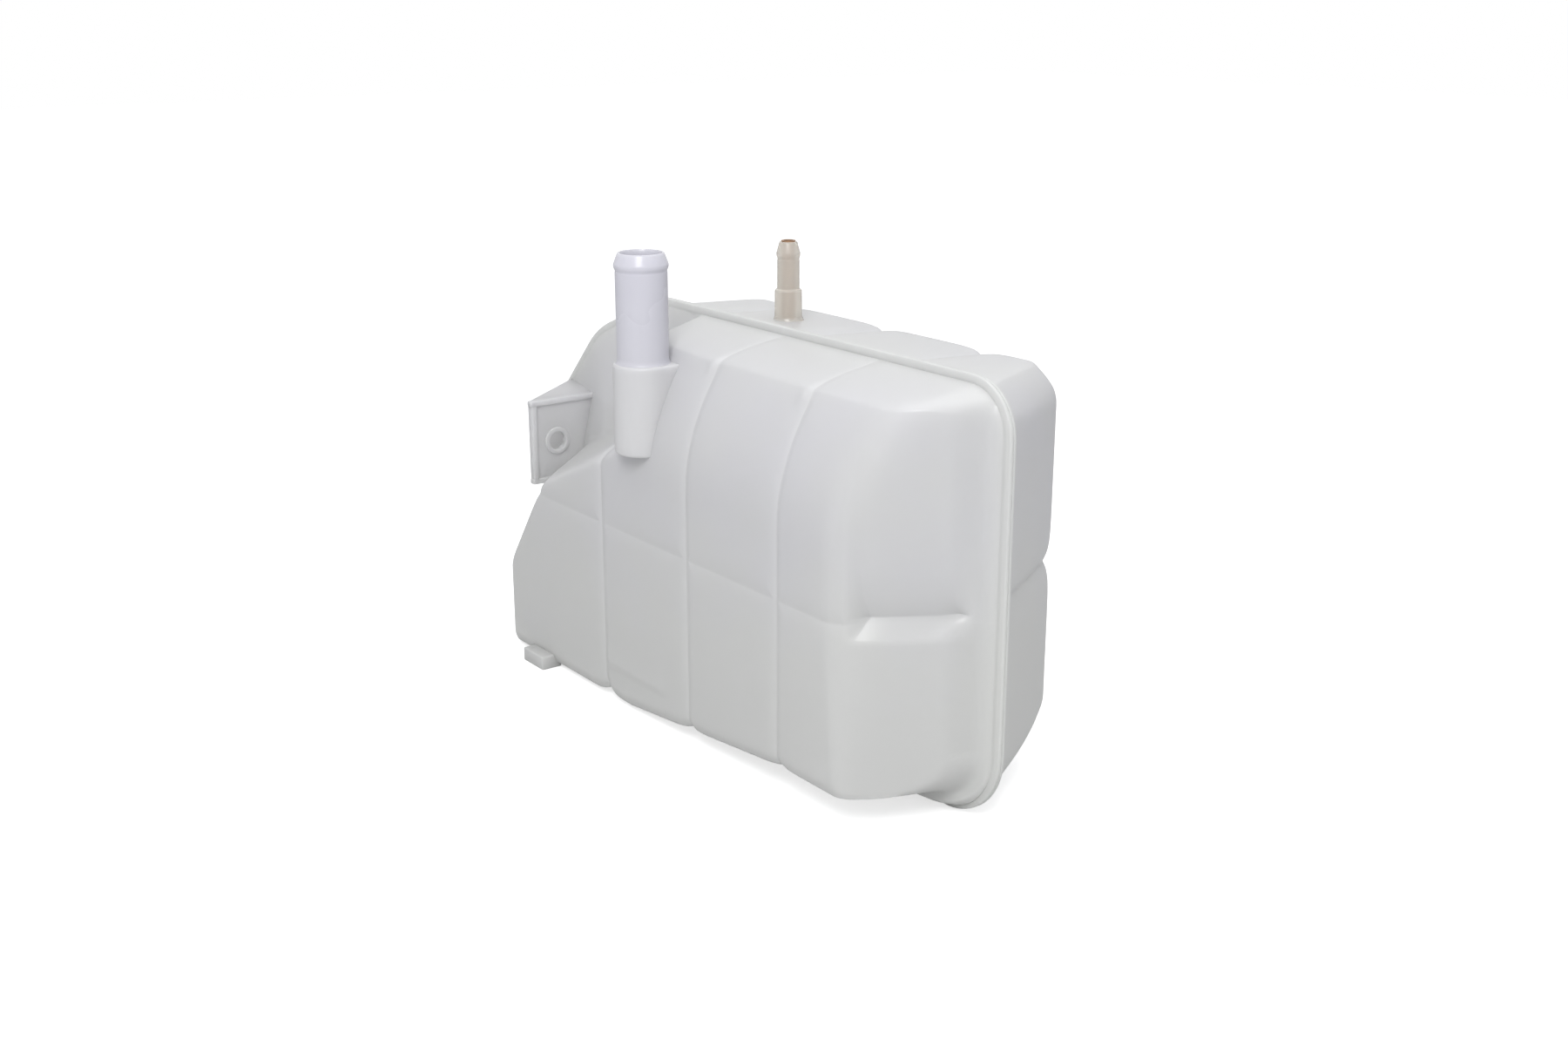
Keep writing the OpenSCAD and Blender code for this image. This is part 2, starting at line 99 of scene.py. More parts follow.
rear_bottom_rise, rear_level_rise = 22.5, 3.0
upright_grooves = (-37.0, 24.0, 81.0)
groove_z, rear_groove_z = 76.5, 81.0
hose_x, hose_y, boss_r, boss_top, boss_bottom, hose_top = -10.0, -42.8, 11.7, 146.0, 111.0, 188.0
vent_x, vent_y, vent_step_z, vent_top = -6.0, 23.4, 168.0, 187.0

half_l = tank_length / 2
wall_foot_x = half_l - flange_out
fold_x = half_l - facet_run
rear_fold_x = half_l - rear_facet_run
side_steep = (front_depth - flange_t) / (facet_run - flange_out)
rear_steep = (rear_depth - flange_t) / (rear_facet_run - flange_out)
print("half length", half_l, "front facets fold at", fold_x)

# %% [markdown]
# ## The outline
# Seen from the front the tank is a rounded rectangle whose left shoulder falls away in two slopes. An upper
# curve (the crown) and a lower one (the keel) give the height of the flange's edge at any x, each drawn in
# by any distance. That is easier to reason about than a drawn spline, and it stays exact.

# %% Upper and lower edge of the outline


def tan(degrees):
    return math.tan(math.radians(degrees))


def outward(angle):
    a = math.radians(angle)
    return np.array([-math.sin(a), math.cos(a)])


def bend_centre(corner, r, a, b):
    return np.array(corner) - r * (outward(a) + outward(b)) / (1 + outward(a) @ outward(b))


right_top = np.array([half_l - top_corner_r, tank_height - top_corner_r])
right_low_x = half_l - bottom_corner_r
brow_x = (tank_height - fall_end_z - tan(brow_angle) * crest_x - tan(fall_angle) * half_l) / (
    tan(fall_angle) - tan(brow_angle))
brow_corner = [brow_x, tank_height + (brow_x - crest_x) * tan(brow_angle)]
knee = bend_centre([-half_l, fall_end_z], knee_r, 90, fall_angle)
brow = bend_centre(brow_corner, brow_r, fall_angle, brow_angle)
crest = bend_centre([crest_x, tank_height], crest_r, brow_angle, 0)


def on_arc(x, centre, r):
    up = np.sqrt(np.maximum(0, r * r - (x - centre[0]) ** 2))
    return np.array([centre[1] + up, (x - centre[0]) / r, up / r])


def on_slope(x, point, angle, drawn_in):
    n = outward(angle)
    return np.array([point[1] + (x - point[0]) * tan(angle) - drawn_in / n[1], n[0] + 0 * x, n[1] + 0 * x])


def crown(x, drawn_in):
    """Height of the upper edge at x, and its outward direction in x and z."""
    o = drawn_in
    flat = np.array([tank_height - o + 0 * x, 0 * x, 1 + 0 * x])
    return np.select(
        [x > right_top[0],
         x > crest[0],
         x > crest[0] + (crest_r - o) * outward(brow_angle)[0],
         x > brow[0] + (brow_r - o) * outward(brow_angle)[0],
         x > brow[0] + (brow_r - o) * outward(fall_angle)[0],
         x > knee[0] + (knee_r - o) * outward(fall_angle)[0]],
        [on_arc(x, right_top, top_corner_r - o),
         flat,
         on_arc(x, crest, crest_r - o),
         on_slope(x, [crest_x, tank_height], brow_angle, o),
         on_arc(x, brow, brow_r - o),
         on_slope(x, [-half_l, fall_end_z], fall_angle, o)],
        on_arc(x, knee, knee_r - o))


def keel(x, drawn_in):
    """Height of the lower edge at x, and its outward direction; it is drawn in by less along the bottom."""
    o, low_k = drawn_in, bottom_out / flange_out
    n = np.clip((np.abs(x) - right_low_x) / (bottom_corner_r - o), 0, 1)
    m = np.sqrt(1 - n * n)
    return np.array([bottom_corner_r - (bottom_corner_r - o * low_k) * m, np.sign(x) * n, -low_k * m])


def along(x, z, centre, angle):
    a = math.radians(angle)
    return (x - centre[0]) * math.cos(a) + (z - centre[1]) * math.sin(a)


def crown_gap(x, z):
    """Distance inside the wall's foot, measured from the upper edge."""
    slopes = [(np.array([crest_x, tank_height]), brow_angle), (np.array([-half_l, fall_end_z]), fall_angle)]
    straight = np.minimum(tank_height - z, half_l - x)
    for point, angle in slopes:
        n = outward(angle)
        straight = np.minimum(straight, n[0] * (point[0] - x) + n[1] * (point[1] - z))
    arcs = [(right_top, top_corner_r, (x > right_top[0]) & (z > right_top[1])),
            (crest, crest_r, (x < crest[0]) & (along(x, z, crest, brow_angle) > 0)),
            (brow, brow_r, (along(x, z, brow, brow_angle) < 0) & (along(x, z, brow, fall_angle) > 0)),
            (knee, knee_r, (along(x, z, knee, fall_angle) < 0) & (z > knee[1]))]
    gaps = [r - np.hypot(x - c[0], z - c[1]) for c, r, _ in arcs]
    return np.select([a[2] for a in arcs], gaps, straight) - flange_out


def keel_gap(x, z):
    """Distance inside the wall's foot, measured from the lower edge."""
    r = bottom_corner_r - bottom_out
    k = r / (bottom_corner_r - flange_out)
    in_corner = (z < bottom_corner_r) & (np.abs(x) > right_low_x)
    round_gap = r - np.hypot((np.abs(x) - right_low_x) * k, z - bottom_corner_r)
    return np.where(in_corner, round_gap, np.minimum(z - bottom_out, wall_foot_x - np.abs(x)))


print("top edge at x 0 and -120:", crown(np.array([0.0, -120.0]), 0)[0])

# %% [markdown]
# ## The moulded form
# Each half is a depth over every point of the outline. A flat face is folded down along straight lines, and
# each fold is rounded by a smooth minimum. That is how the mould itself was designed, as planes with
# radii, so it gives the same crisp but soft edges that a subdivided box would blur.

# %% Folds and facets


def soft_min(a, b, k):
    return np.minimum(a, b) - np.maximum(k - np.abs(a - b), 0) ** 2 / (4 * k)


def soft_max(a, b, k):
    return -soft_min(-a, -b, k)


def falling(top, slope, past, sunk):
    """A wall that falls by slope for each millimetre past its fold, moved in by sunk."""
    return top - slope * past - sunk * math.sqrt(1 + slope * slope)


def past_fold(x, z, angle):
    a = math.radians(angle)
    return -(x - cut_x) * math.sin(a) + (z - cut_z) * math.cos(a)


def ramp(x, start, run):
    return np.clip((x - start) / run, 0, 1)


def eased(top, gap, r, sunk):
    return falling(top, 1, 0.586 * r - gap, sunk)


def steep_edge(d, slope, past, sunk):
    """A wall whose steepness changes from place to place."""
    return d - slope * past - sunk * np.sqrt(1 + slope * slope)


def front_depth_at(x, z, sunk):
    d = front_depth
    up, down = crown_gap(x, z), keel_gap(x, z)
    rise = (bottom_rise + bottom_gain * ramp(x, rise_from_x, half_l - 6.5)
            - end_drop * ramp(x, end_drop_x, end_drop_run))
    fold_soft = facet_soft + facet_soft_gain * ramp(x, 60, 40) * ramp(z, 22, 55)
    block = soft_min(d - sunk, falling(d, side_steep, np.abs(x) - fold_x, sunk), fold_soft)
    block = soft_min(block, falling(d, tan(shoulder_lean), z - fold_z, sunk), shoulder_soft)
    low = falling(d, tan(lower_cut_lean), past_fold(x, z, lower_cut_angle), sunk)
    high = falling(d, tan(upper_cut_lean), past_fold(x, z, upper_cut_angle), sunk)
    end = falling(d, tan(cut_end_lean), cut_end_x - x, sunk)
    block = soft_min(soft_min(block, low, 6), np.maximum(high, end), 6)
    block = soft_min(block, eased(d, down - rise, 3, sunk), 4)
    edge_soft = top_soft + top_soft_gain * ramp(x, -20, 30)
    block = soft_min(block, falling(flange_t, 1 / front_top_draft, -up, sunk), edge_soft)
    level_share = 1 + level_gain * ramp(x, level_x, level_run)
    risen = np.clip((down - sunk) / rise, 1e-4, None)
    curved = np.where(risen < 1, risen ** level_share, 1 + level_share * (risen - 1))
    under = flange_t + (d - flange_t) * curved
    beyond = flange_t - (d - flange_t) * (sunk - down) / rise
    block = soft_min(block, np.where(down > sunk, under, beyond), 6)
    ground = falling(flange_t, ground_slope, -up, sunk)
    ground = soft_min(ground, falling(d, side_steep, np.abs(x) - fold_x, sunk), 3)
    ground = soft_min(ground, falling(flange_t, 3, -down, sunk), 3)
    return soft_max(block, ground, 3)


def rear_depth_at(x, z, sunk):
    d = rear_depth
    up, down = crown_gap(x, z), keel_gap(x, z)
    rise = rear_level_rise + (rear_bottom_rise - rear_level_rise) * ramp(
        x, 48.5 - half_l, rear_fold_x + 100)
    corner = (x - rear_fold_x + z - tank_height + flange_out + 11) * math.sin(math.pi / 4)
    block = soft_min(d - sunk, falling(d, rear_steep, np.abs(x) - rear_fold_x, sunk), 6)
    block = soft_min(block, eased(d, up - rear_top_draft * d, 8, sunk), 6)
    block = soft_min(block, falling(d, 2.5, corner, sunk), 12)
    block = soft_min(block, eased(d, down - rise, 3, sunk), 4)
    block = soft_min(block, falling(flange_t, 1 / rear_top_draft, -up, sunk), 10)
    return soft_min(block, steep_edge(flange_t, (d - flange_t) / rise, -down, sunk), 10)


print("front depth in the middle of the face:", front_depth_at(np.array([50.0]), np.array([60.0]), 0.0))

# %% [markdown]
# ## Creases between the pillows
# The walls are blown out a little between the sunk lines, like pillows that meet in creases. The depth of a
# crease dies away with distance instead of stopping at an edge. The front half's creases are narrow. On its
# right end the level one opens into a ledge, whose long lower flank faces up and catches the light.

# %% Depth of the creases


def crease(distance, width, point_r=0.45):
    """1 in the bottom of a crease, dying away over about width; point_r rounds the very bottom."""
    d = np.sqrt(distance * distance + point_r * point_r) - point_r
    return np.exp(-d / width)


shoulder_knobs = ((21.5, 149.0), (78.0, 148.0))


def front_creases(x, z):
    upright = np.max([crease(x - g, 2.2) for g in upright_grooves], axis=0) * (1 - 0.6 * ramp(z, 149, 5))
    at_foot = np.max([crease(x - g, 2.6, 0.9) for g in upright_grooves], axis=0)
    upright += 2.0 * (1 - ramp(z, 2, 9)) * at_foot
    level = 0.6 * crease(z - groove_z, 2.4) * (1 - ramp(x, fold_x + 1, 3))
    faded = np.exp(-np.maximum(z - (ledge_z + ledge_h), 0) / ledge_fade)
    flank = np.minimum(np.clip((z - ledge_z) / ledge_h, 0, 1), faded)
    ledge = ledge_d * flank * ramp(x, fold_x - 0.6, 2.2) * (1 - ramp(x, ledge_end_x, 5))
    knobs = [knob_h * np.exp(-((x - g) / knob_r) ** 2 - ((z - top) / knob_r) ** 2)
             for g, top in shoulder_knobs]
    return np.maximum(np.maximum(upright, level), ledge) - np.max(knobs, axis=0)


def rear_creases(x, z):
    upright = np.max([crease(x - g, 3.4, 0.8) for g in upright_grooves], axis=0)
    return 2.2 * np.maximum(upright, crease(z - rear_groove_z, 3.4, 0.8))


beside = np.array([0.0, 1, 3, 6])
print("front crease depths", beside, "mm beside a groove:", np.round(crease(beside, 2.2), 2))

# %% [markdown]
# ## Where the points go
# A grid of points covers the outline. It is close together where the surface turns quickly and wider apart
# on the flat panels, which spends the triangles where the eye looks. The spacing comes from a density: the
# points are placed so that each step holds the same share of it.

# %% Spread points by a density


def spread(start, end, count, places):
    """count points from start to end, closer together near each (place, reach, strength)."""
    fine = np.linspace(start, end, 6000)
    density = np.ones_like(fine)
    for place, reach, strength in places:
        density += strength * np.exp(-((fine - place) / reach) ** 2)
    total = np.concatenate([[0], np.cumsum((density[1:] + density[:-1]) / 2)])
    return np.interp(np.linspace(0, total[-1], count), total, fine)


def stations(front):
    places = [(g, 3.5, 5) for g in upright_grooves]
    places += [(s * wall_foot_x, 7, 5) for s in (-1, 1)] + [(s * fold_x, 5, 1.5) for s in (-1, 1)]
    if front:
        places += [(cut_end_x, 8, 3)]
    return spread(-wall_foot_x, wall_foot_x, 281, places)


low_shares = spread(0, 1, 72, [(0, 0.08, 5), (1, 0.05, 3)])
high_shares = spread(0, 1, 97, [(0, 0.06, 5), (0.55, 0.08, 1), (1, 0.1, 5)])


def row_heights(x, level, drawn_in):
    """Heights of all rows at each x: some below the level crease and some above it."""
    low, high = keel(x, drawn_in)[0], crown(x, drawn_in)[0]
    below = low[:, None] + (level - low)[:, None] * low_shares[None, :]
    above = level + (high - level)[:, None] * high_shares[None, 1:]
    return np.concatenate([below, above], axis=1)


print("columns", len(stations(True)), "rows", len(low_shares) + len(high_shares) - 1)

# %% [markdown]
# ## One half as a closed skin
# The skin goes over the outer surface, out over the flange, round its edge, across the weld face and back
# over the inner surface, so it is a real moulded wall and not a sheet. The flange's edges are eased, and
# the eased edges of the two halves leave the fine dark line that shows between them.

# %% Build a half
flange_section = [(0.35, 1.62), (0.9, 1.5), (2.2, 1.5), (2.75, 1.3),
                  (3.0, 0.85), (3.0, 0.35), (2.9, 0.1), (2.7, 0.02)]


def ring_of(columns, rows):
    """Grid places once round the edge, starting at the lower left corner."""
    a, b = columns - 1, rows - 1
    return ([(i, 0) for i in range(a)] + [(a, j) for j in range(b)]
            + [(i, b) for i in range(a, 0, -1)] + [(0, j) for j in range(b, 0, -1)])


def build_half(name, front):
    depth_at = front_depth_at if front else rear_depth_at
    creases = front_creases if front else rear_creases
    level = groove_z if front else rear_groove_z
    xs = stations(front)
    z = row_heights(xs, level, flange_out)
    x = np.repeat(xs[:, None], z.shape[1], axis=1)
    depth = np.maximum(flange_t, depth_at(x, z, creases(x, z)))
    columns, rows = z.shape
    ring = ring_of(columns, rows)
    ri, rj = np.array(ring).T
    depth[ri, rj] = flange_t
    points = [np.stack([x, depth, z], axis=-1).reshape(-1, 3)]
    top_n, low_n = crown(xs, flange_out)[1:], keel(xs, flange_out)[1:]
    side = np.where((ri == 0) | (ri == columns - 1), np.sign(xs[ri]), 0.0)
    upper = rj > 0
    nx = np.where(side != 0, side, np.where(upper, top_n[0][ri], low_n[0][ri]))
    nz = np.where(side != 0, 0.0, np.where(upper, top_n[1][ri], low_n[1][ri]))
    loop = len(ring)
    for out, d in flange_section:
        points.append(np.stack([xs[ri] + nx * out, np.full(loop, d), z[ri, rj] + nz * out], axis=-1))
    inner_in = flange_out + wall - 0.2
    keep = fold_x - 8
    shrink = (half_l - inner_in - keep) / (wall_foot_x - keep)
    inner_xs = xs[::4]
    inner_xs = np.where(np.abs(inner_xs) < keep, inner_xs,
                        np.sign(inner_xs) * (keep + (np.abs(inner_xs) - keep) * shrink))
    iz = row_heights(inner_xs, level, inner_in)[:, ::4]
    ix = np.repeat(inner_xs[:, None], iz.shape[1], axis=1)
    inner = np.maximum(0.2, depth_at(ix, iz, wall + 0.6 * creases(ix, iz)))
    inner_ring = ring_of(*iz.shape)
    inner[tuple(np.array(inner_ring).T)] = 0.0
    points.append(np.stack([ix, inner, iz], axis=-1).reshape(-1, 3))
    starts = np.cumsum([0] + [len(p) for p in points])
    points = np.concatenate(points)
    faces = []
    for i in range(columns - 1):
        for j in range(rows - 1):
            p = i * rows + j
            faces.append((p, p + rows, p + rows + 1, p + 1))
    first = [i * rows + j for i, j in ring]
    loops = [first] + [list(range(starts[k], starts[k] + loop)) for k in range(1, len(flange_section) + 1)]
    for a, b in zip(loops[:-1], loops[1:]):
        for k in range(loop):
            n = (k + 1) % loop
            faces.append((a[n], a[k], b[k], b[n]))
    last, inner_start, inner_rows = loops[-1], starts[len(flange_section) + 1], iz.shape[1]
    inner_loop = [inner_start + i * inner_rows + j for i, j in inner_ring]
    step = loop // len(inner_loop)
    for k, p in enumerate(inner_loop):
        q = inner_loop[(k + 1) % len(inner_loop)]
        outer = [last[(k * step + m) % loop] for m in range(step + 1)]
        faces.append(tuple(reversed(outer[:step // 2 + 1])) + (p,))
        faces.append(tuple(reversed(outer[step // 2:])) + (p, q))
    for i in range(iz.shape[0] - 1):
        for j in range(inner_rows - 1):
            p = inner_start + i * inner_rows + j
            faces.append((p, p + 1, p + inner_rows + 1, p + inner_rows))
    if front:
        points[:, 1] *= -1
    else:
        faces = [tuple(reversed(f)) for f in faces]
    lining = len(faces) - (iz.shape[0] - 1) * (inner_rows - 1)
    # Painted light: the colour is lightened towards the weld flange, a painted glow that lifts the shade on
    # the flange's steep eased edges.
    seam_light = np.exp(-np.maximum(0, np.minimum(crown_gap(points[:, 0], points[:, 2]),
                                            keel_gap(points[:, 0], points[:, 2]))) / 5.0)
    # Painted highlight: these marks make the material paint a pale line down each crease.
    crease_lights = [crease(points[:, 0] - g, 1.2, 0.2) for g in upright_grooves]
    crease_lights += [0.4 * crease(points[:, 2] - level, 1.2, 0.2)]
    piece = make_piece(name, points, faces, {"painted_seam_light": seam_light, "painted_crease_light": np.max(crease_lights, axis=0)})
    inner_slots = np.zeros(len(piece.data.polygons), np.int32)
    inner_slots[lining:] = 1
    piece.data.materials.append(None)
    piece.data.materials.append(None)
    piece.data.polygons.foreach_set("material_index", inner_slots)
    return piece


def make_piece(name, points, faces, marks=None, smooth_angle=38):
    """A mesh object from points in millimetres, smooth across gentle angles, riding on the body."""
    mesh = bpy.data.meshes.new(name)
    mesh.from_pydata((np.asarray(points) * MM).tolist(), [], [tuple(map(int, f)) for f in faces])
    for mark, values in (marks or {}).items():
        attribute = mesh.attributes.new(mark, "FLOAT", "POINT")
        attribute.data.foreach_set("value", np.asarray(values, np.float32))
    height = mesh.attributes.new("height_share", "FLOAT", "POINT")
    share = np.clip(np.asarray(points)[:, 2] / tank_height, 0, 1)
    height.data.foreach_set("value", share.astype(np.float32))
    mesh.validate()
    mesh.shade_smooth()
    mesh.set_sharp_from_angle(angle=math.radians(smooth_angle))
    piece = bpy.data.objects.new(name, mesh)
    bpy.context.scene.collection.objects.link(piece)
    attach(piece, "root")
    print(name, len(mesh.vertices), "points", sum(len(p.vertices) - 2 for p in mesh.polygons), "triangles")
    return piece


front_half = build_half("front_half", True)
rear_half = build_half("rear_half", False)
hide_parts("front_shell")
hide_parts("rear_shell")

# %% [markdown]
# ## Round parts
# The nipples are turned shapes, so a section spun round its axis is the natural way to make them. The hose
# nipple has a bead that keeps the hose on, a slight taper, a soft rim and a fillet where it meets the boss.

# %% Turn a section round an upright axis


def turned(name, section, centre, steps=96, smooth_angle=50):
    """section is (radius, height) pairs round a closed outline, seen with the axis at the left."""
    turns = np.arange(steps) * 2 * math.pi / steps
    points = [(centre[0] + r * math.cos(t), centre[1] + r * math.sin(t), z)
              for r, z in section for t in turns]
    n = len(section)
    faces = []
    for k in range(n):
        a, b = k * steps, ((k + 1) % n) * steps
        for s in range(steps):
            e = (s + 1) % steps
            faces.append((a + s, a + e, b + e, b + s))
    return make_piece(name, points, faces, smooth_angle=smooth_angle)


def rounded(points, r, steps=5):
    """Rounds each corner of an open chain of (radius, height) points by r, where there is room."""
    out = [points[0]]
    for a, b, c in zip(points[:-2], points[1:-1], points[2:]):
        a, b, c = map(np.array, (a, b, c))
        cut = min(r, 0.45 * np.linalg.norm(a - b), 0.45 * np.linalg.norm(c - b))
        p = b + (a - b) / np.linalg.norm(a - b) * cut
        q = b + (c - b) / np.linalg.norm(c - b) * cut
        for s in np.linspace(0, 1, steps):
            out.append(tuple((1 - s) ** 2 * p + 2 * s * (1 - s) * b + s * s * q))
    return out + [points[-1]]


hose_outer = rounded([(10.9, 144.6), (10.85, 145.8), (10.3, 146.4), (10.0, 147.6), (9.95, 180.4),
                      (9.8, 181.2), (10.4, 182.5), (10.45, 183.6), (9.0, 187.4), (8.6, hose_top),
                      (8.1, 187.9)], 0.5)
hose_inner = [(7.75, 187.2), (7.7, 185.5), (7.7, 150), (7.7, 116),
              (0.4, 114.5), (0.4, 113.5), (9.0, 113.5), (9.0, 144.6)]
hose_nipple = turned("hose_nipple", hose_outer + hose_inner, (hose_x, hose_y))

# %% [markdown]
# ## The boss
# The boss is half round in front and runs back into the shoulder. It is lofted from level outlines: each
# has the same number of points, so neighbouring outlines join without thinking, and the top edge is eased
# by drawing the last outlines in.

# %% Loft the boss


def boss_outline(z, drawn_in):
    """Points round the boss at height z: round the front, then back along the shoulder."""
    r = boss_r - drawn_in
    lean = max(0.0, z - fold_z) * tan(shoulder_lean)
    back = -(front_depth - lean - 5.0)
    turns = np.linspace(-math.pi / 2, math.pi / 2, 61)
    front = [(hose_x + r * math.sin(t), min(hose_y - r * math.cos(t), back)) for t in turns]
    sides = np.linspace(0, 1, 8)
    clear = back > hose_y
    right = [(hose_x + r, hose_y + s * (back - hose_y)) if clear else (front[-1][0], back)
             for s in sides[1:]]
    left = [(hose_x - r, back + s * (hose_y - back)) if clear else (front[0][0], back)
            for s in sides[:-1]]
    across = [(right[-1][0] + s * (left[0][0] - right[-1][0]), back) for s in np.linspace(0, 1, 20)[1:-1]]
    return front + right + across + left


levels = [(boss_bottom, 0.8), (boss_bottom + 0.3, 0.25), (boss_bottom + 1.0, 0.0)]
levels += [(z, 0.0) for z in np.linspace(boss_bottom + 3, boss_top - 1.2, 22)]
levels += [(boss_top - 0.6, 0.12), (boss_top - 0.2, 0.4), (boss_top, 0.95)]
outlines = [[(x, y, z) for x, y in boss_outline(z, o)] for z, o in levels]
count = len(outlines[0])
rim_turns = [math.atan2(y - hose_y, x - hose_x) for x, y, z in outlines[-1]]
socket_r, socket_floor = 9.2, 112.5
hole = [[(hose_x + socket_r * math.cos(t), hose_y + socket_r * math.sin(t), z) for t in rim_turns]
        for z in (boss_top, socket_floor)]
boss_points = [p for loop in outlines + hole for p in loop]
boss_faces = []
for k in range(len(outlines) + 1):
    for s in range(count):
        e = (s + 1) % count
        boss_faces.append((k * count + s, k * count + e, (k + 1) * count + e, (k + 1) * count + s))
boss_faces.append(tuple(reversed(range(count))))
boss_faces.append(tuple(range((len(outlines) + 1) * count, (len(outlines) + 2) * count)))
hose_boss = make_piece("hose_boss", boss_points, boss_faces, smooth_angle=50)

# %% [markdown]
# ## The vent nipple
# The thin nipple stands on a thicker root. The brown metal tube inside it is the CAD model's own, because a
# plain tube needs nothing more than its material.

# %% Turn the vent nipple
root_z = tank_height - flange_out - rear_top_draft * vent_y
vent_outer = rounded([(7.2, root_z - 1.2), (6.1, root_z + 0.1), (5.5, root_z + 1.4),
                      (5.4, vent_step_z - 0.5), (5.2, vent_step_z), (4.6, vent_step_z + 0.15),
                      (4.45, vent_step_z + 0.6), (4.4, 179.5), (4.3, 180.2), (4.7, 181.5),
                      (4.75, 182.5), (3.6, 186.6), (3.2, vent_top)], 0.35)
vent_inner = [(2.85, 186.9), (2.82, 186.5), (2.82, root_z - 2.6), (7.2, root_z - 2.6)]
vent_nipple = turned("vent_nipple", vent_outer + vent_inner, (vent_x, vent_y), steps=72)

# %% [markdown]
# ## The bracket and the feet
# These are flat walls of one thickness. Each is drawn as an outline and pushed out to a plate, and then its
# edges are rounded by a small bevel, because a moulded edge is never sharp and the bevel is what shines.

# %% Plates with eased edges


def plate(outline, axis, start, end):
    """Points and faces of a flat plate: an outline pushed from start to end along axis."""
    keep = [a for a in range(3) if a != axis]
    points = []
    for level in (start, end):
        for u, v in outline:
            p = [0.0, 0.0, 0.0]
            p[axis], p[keep[0]], p[keep[1]] = level, u, v
            points.append(tuple(p))
    n = len(outline)
    faces = [tuple(range(n - 1, -1, -1)), tuple(range(n, 2 * n))]
    faces += [(k, (k + 1) % n, (k + 1) % n + n, k + n) for k in range(n)]
    return points, faces


def rectangle(x0, y0, x1, y1):
    return [(x0, y0), (x1, y0), (x1, y1), (x0, y1)]


def plates(name, parts, ease):
    """Joins plates into one piece, turns their faces outward and eases their edges."""
    points, faces = [], []
    for part_points, part_faces in parts:
        faces += [tuple(i + len(points) for i in f) for f in part_faces]
        points += part_points
    piece = make_piece(name, points, faces)
    bpy.context.view_layer.objects.active = piece
    piece.select_set(True)
    bpy.ops.object.mode_set(mode="EDIT")
    bpy.ops.mesh.select_all(action="SELECT")
    bpy.ops.mesh.normals_make_consistent(inside=False)
    bpy.ops.object.mode_set(mode="OBJECT")
    bevel = piece.modifiers.new("ease", "BEVEL")
    bevel.width = ease * MM
    bevel.segments = 3
    bevel.limit_method = "ANGLE"
    bevel.angle_limit = math.radians(28)
    bpy.ops.object.modifier_apply(modifier=bevel.name)
    piece.data.shade_smooth()
    piece.data.set_sharp_from_angle(angle=math.radians(60))
    piece.select_set(False)
    return piece


plate_x, plate_y, plate_bottom, plate_top, plate_t = -110.0, -38.5, 75.0, 112.0, 2.2
plate_end_y = -6.0
back_x, root_y = 10 - half_l, -0.8
hole_y, hole_z, hole_r = -26.5, 93.0, 4.0
rim_h, rim_over, ring_h = 2.4, 0.9, 0.8


def round_hole(r, steps=48):
    return [(hole_y + r * math.cos(t), hole_z + r * math.sin(t))
            for t in np.linspace(0, 2 * math.pi, steps, endpoint=False)]


def pierced_plate():
    """The upright plate with its round hole: two rectangular faces with a ring of points in each."""
    corners = rectangle(plate_y, plate_bottom, plate_end_y, plate_top)
    ring = round_hole(hole_r)
    n = len(ring)
    edge = []
    for y, z in ring:
        dy, dz = y - hole_y, z - hole_z
        to_side = ((plate_end_y if dy > 0 else plate_y) - hole_y) / dy if abs(dy) > 1e-6 else 1e9
        to_end = ((plate_top if dz > 0 else plate_bottom) - hole_z) / dz if abs(dz) > 1e-6 else 1e9
        reach = min(to_side, to_end)
        edge.append((hole_y + dy * reach, hole_z + dz * reach))
    for corner in corners:
        nearest = min(range(n), key=lambda k: math.dist(edge[k], corner))
        edge[nearest] = corner
    points = [(x, y, z) for x in (plate_x, plate_x + plate_t) for loop in (edge, ring) for y, z in loop]
    faces = []
    for k in range(n):
        e = (k + 1) % n
        faces.append((k, e, n + e, n + k))
        faces.append((2 * n + e, 2 * n + k, 3 * n + k, 3 * n + e))
        faces.append((e, k, 2 * n + k, 2 * n + e))
        faces.append((n + k, n + e, 3 * n + e, 3 * n + k))
    return points, faces


gusset = [(plate_x + plate_t - 0.1, plate_y + 0.2), (plate_x + plate_t - 0.1, -6.1),
          (back_x + 3, root_y), (back_x, root_y), (plate_x + 0.1, plate_y + 0.2)]
rim_x = plate_x + plate_t + 1.1
level_rim = rectangle(plate_x, plate_y - rim_over, rim_x, plate_end_y)
upright_rim = rectangle(plate_x - 0.3, plate_y - 0.5, rim_x - 0.1, plate_y + 2.0)
rims = [plate(level_rim, 2, plate_top - rim_h, plate_top),
        plate(level_rim, 2, plate_bottom, plate_bottom + rim_h),
        plate(upright_rim, 2, plate_bottom + 0.3, plate_top - 0.3)]
web = [(plate_x + 0.2, plate_y + 0.4), (plate_x + plate_t - 0.3, plate_y + 0.4),
       (back_x + 3, root_y), (back_x, root_y)]
bracket = plates("bracket", [pierced_plate(),
                             plate(gusset, 2, plate_bottom, plate_bottom + plate_t),
                             plate(gusset, 2, plate_top - plate_t, plate_top),
                             plate(web, 2, plate_bottom + 0.2, plate_top - 0.2)] + rims, 0.45)


def across(section, centre):
    """A turned ring whose axis lies along x, for the raised edge of the hole."""
    turns = np.linspace(0, 2 * math.pi, 72, endpoint=False)
    points = [(x, centre[0] + r * math.cos(t), centre[1] + r * math.sin(t))
              for r, x in section for t in turns]
    n, steps = len(section), len(turns)
    faces = []
    for k in range(n):
        for s in range(steps):
            e, m = (s + 1) % steps, (k + 1) % n
            faces.append((k * steps + s, m * steps + s, m * steps + e, k * steps + e))
    return points, faces


